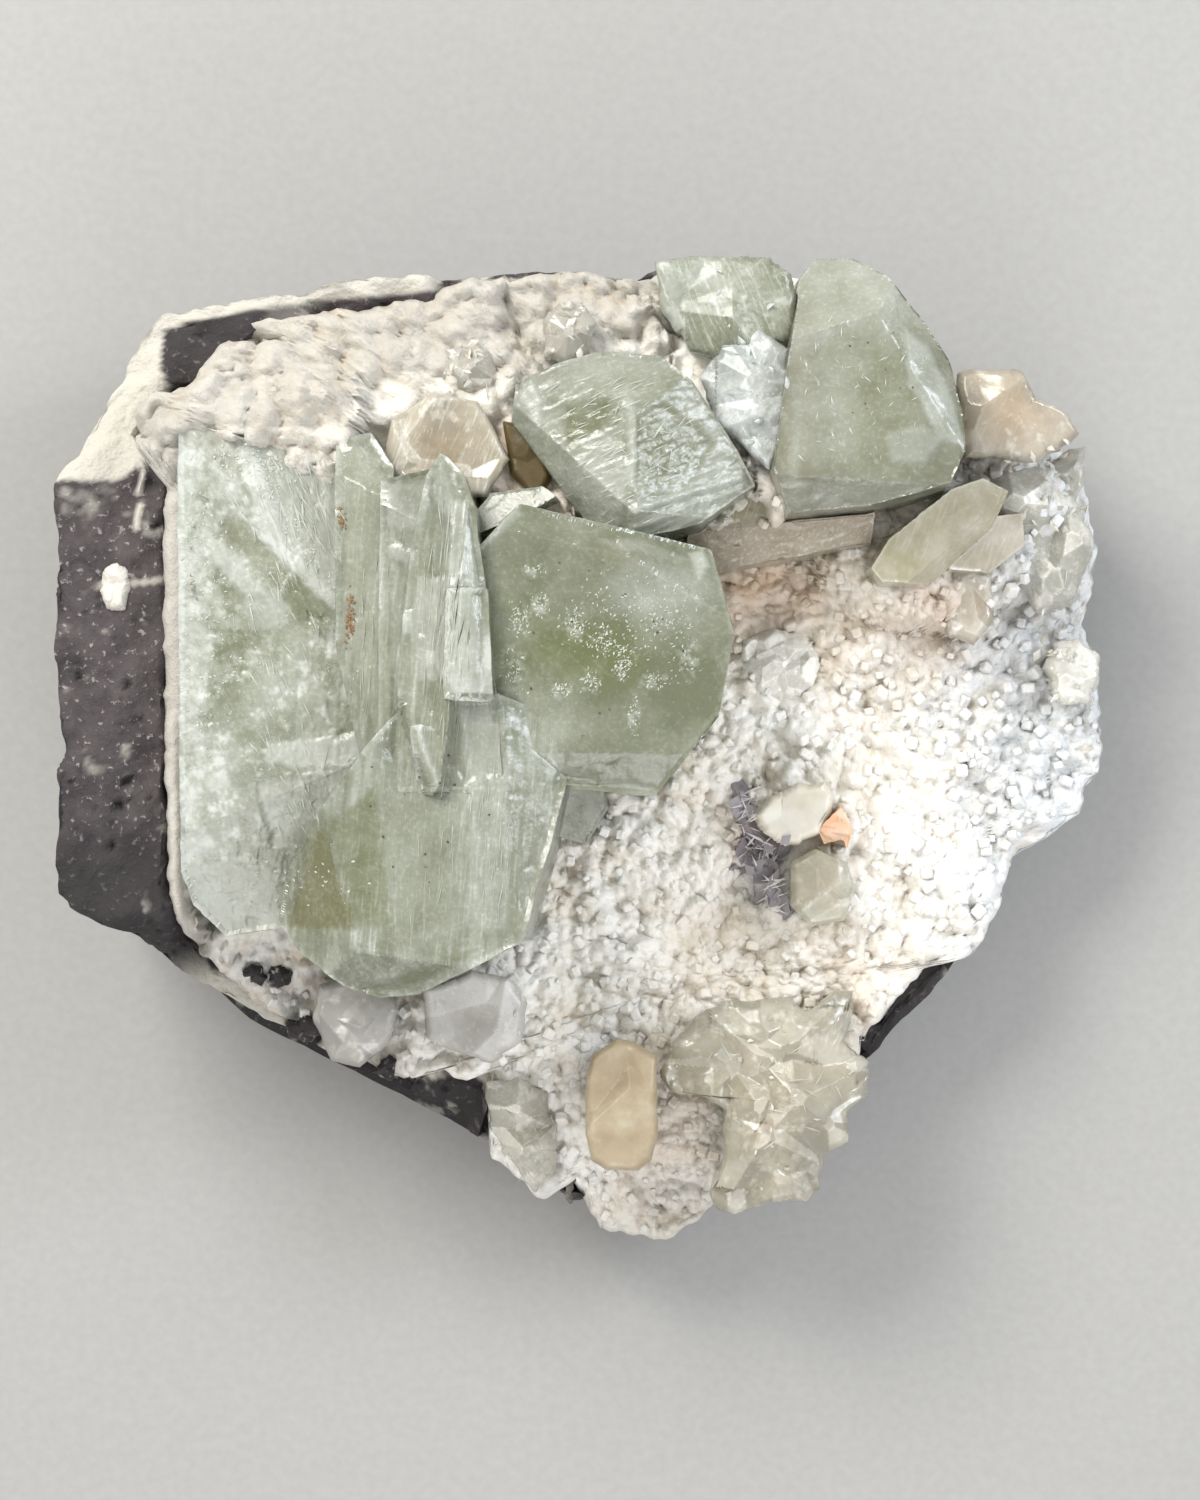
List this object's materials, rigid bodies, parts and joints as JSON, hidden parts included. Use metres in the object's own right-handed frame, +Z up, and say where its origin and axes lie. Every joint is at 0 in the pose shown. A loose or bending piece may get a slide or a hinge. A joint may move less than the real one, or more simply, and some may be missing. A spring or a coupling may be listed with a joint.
{
  "type": "apophyllite cluster",
  "caption": "Mineral hand specimen: pale green apophyllite crystals with stilbite on a white zeolite druse, on a slab of dark basalt that rests on a flat base.",
  "frame": {"origin": "middle of the flat base, halfway along the plate's length and width", "axes": "+Z up, out of the cavity; +X along the plate's length, away from the bare basalt wall; +Y towards the cavity's upper wall"},
  "size_m": [0.1222, 0.115, 0.0514],
  "materials": {
    "basalt": "matt",
    "druse": "satin",
    "apophyllite": "polished",
    "apophyllite_cleaved": "polished",
    "pearly_crystal": "satin",
    "clear_crystal": "polished",
    "grey_crystal": "satin",
    "stilbite_cream": "satin",
    "stilbite_peach": "satin",
    "dark_crystal": "satin",
    "orange_grain": "satin"
  },
  "bodies": {
    "root": {"apophyllite_edge": "apophyllite", "apophyllite_left": "apophyllite_cleaved", "apophyllite_low": "apophyllite", "apophyllite_main": "apophyllite", "apophyllite_right": "apophyllite", "apophyllite_small": "clear_crystal", "apophyllite_upper": "apophyllite", "basalt_matrix": "basalt", "blade_back": "clear_crystal", "blade_cluster": "clear_crystal", "blade_long": "clear_crystal", "clear_low_a": "clear_crystal", "clear_low_b": "clear_crystal", "clear_low_c": "clear_crystal", "clear_middle": "grey_crystal", "clear_right_a": "clear_crystal", "clear_right_b": "clear_crystal", "clear_right_c": "clear_crystal", "clear_upper_a": "clear_crystal", "clear_upper_b": "clear_crystal", "clear_upper_c": "clear_crystal", "cream_lozenge": "stilbite_cream", "dark_blades": "dark_crystal", "heulandite_a": "grey_crystal", "heulandite_b": "grey_crystal", "orange_grain": "orange_grain", "pearly_fragment": "pearly_crystal", "stilbite_lower": "stilbite_peach", "stilbite_peach": "stilbite_peach", "stilbite_right": "stilbite_cream", "stilbite_upper": "stilbite_cream", "white_amygdale": "druse", "zeolite_druse": "druse"}
  },
  "joints": []
}
